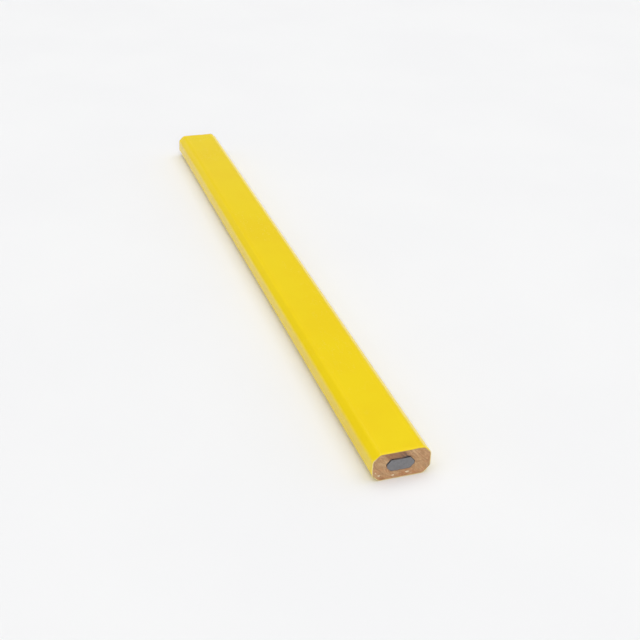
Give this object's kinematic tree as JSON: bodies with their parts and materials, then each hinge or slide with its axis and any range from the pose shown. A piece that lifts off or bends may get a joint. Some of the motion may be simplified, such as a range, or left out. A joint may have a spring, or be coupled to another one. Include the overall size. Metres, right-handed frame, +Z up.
{
  "type": "carpenter pencil",
  "caption": "Unsharpened carpenter pencil: a flat octagonal lacquered wooden pencil with a wide flat graphite core, both ends trimmed square.",
  "frame": {"origin": "middle of the underside: halfway along the pencil, on the surface that it lies on", "axes": "+Y runs along the pencil, from its front end to its back end; +X runs across the wide flats; +Z is up, out of the upper wide flat"},
  "size_m": [0.0124, 0.176, 0.0064],
  "materials": {
    "lower_slat_wood": "sawn end grain, matte",
    "upper_slat_wood": "sawn end grain, matte",
    "graphite": "fired graphite and clay, dull grey sheen",
    "core_glue": "dried wood glue, matte",
    "slat_glue": "dried wood glue, matte",
    "base_coat": "chalky cream filler and primer",
    "colour_coat": "yellow lacquer, satin gloss"
  },
  "bodies": {
    "root": {"lower_slat": "lower_slat_wood", "upper_slat": "upper_slat_wood", "graphite_core": "graphite", "core_glue": "core_glue", "slat_glue_left": "slat_glue", "slat_glue_right": "slat_glue", "base_coat": "base_coat", "colour_coat": "colour_coat"}
  },
  "joints": []
}
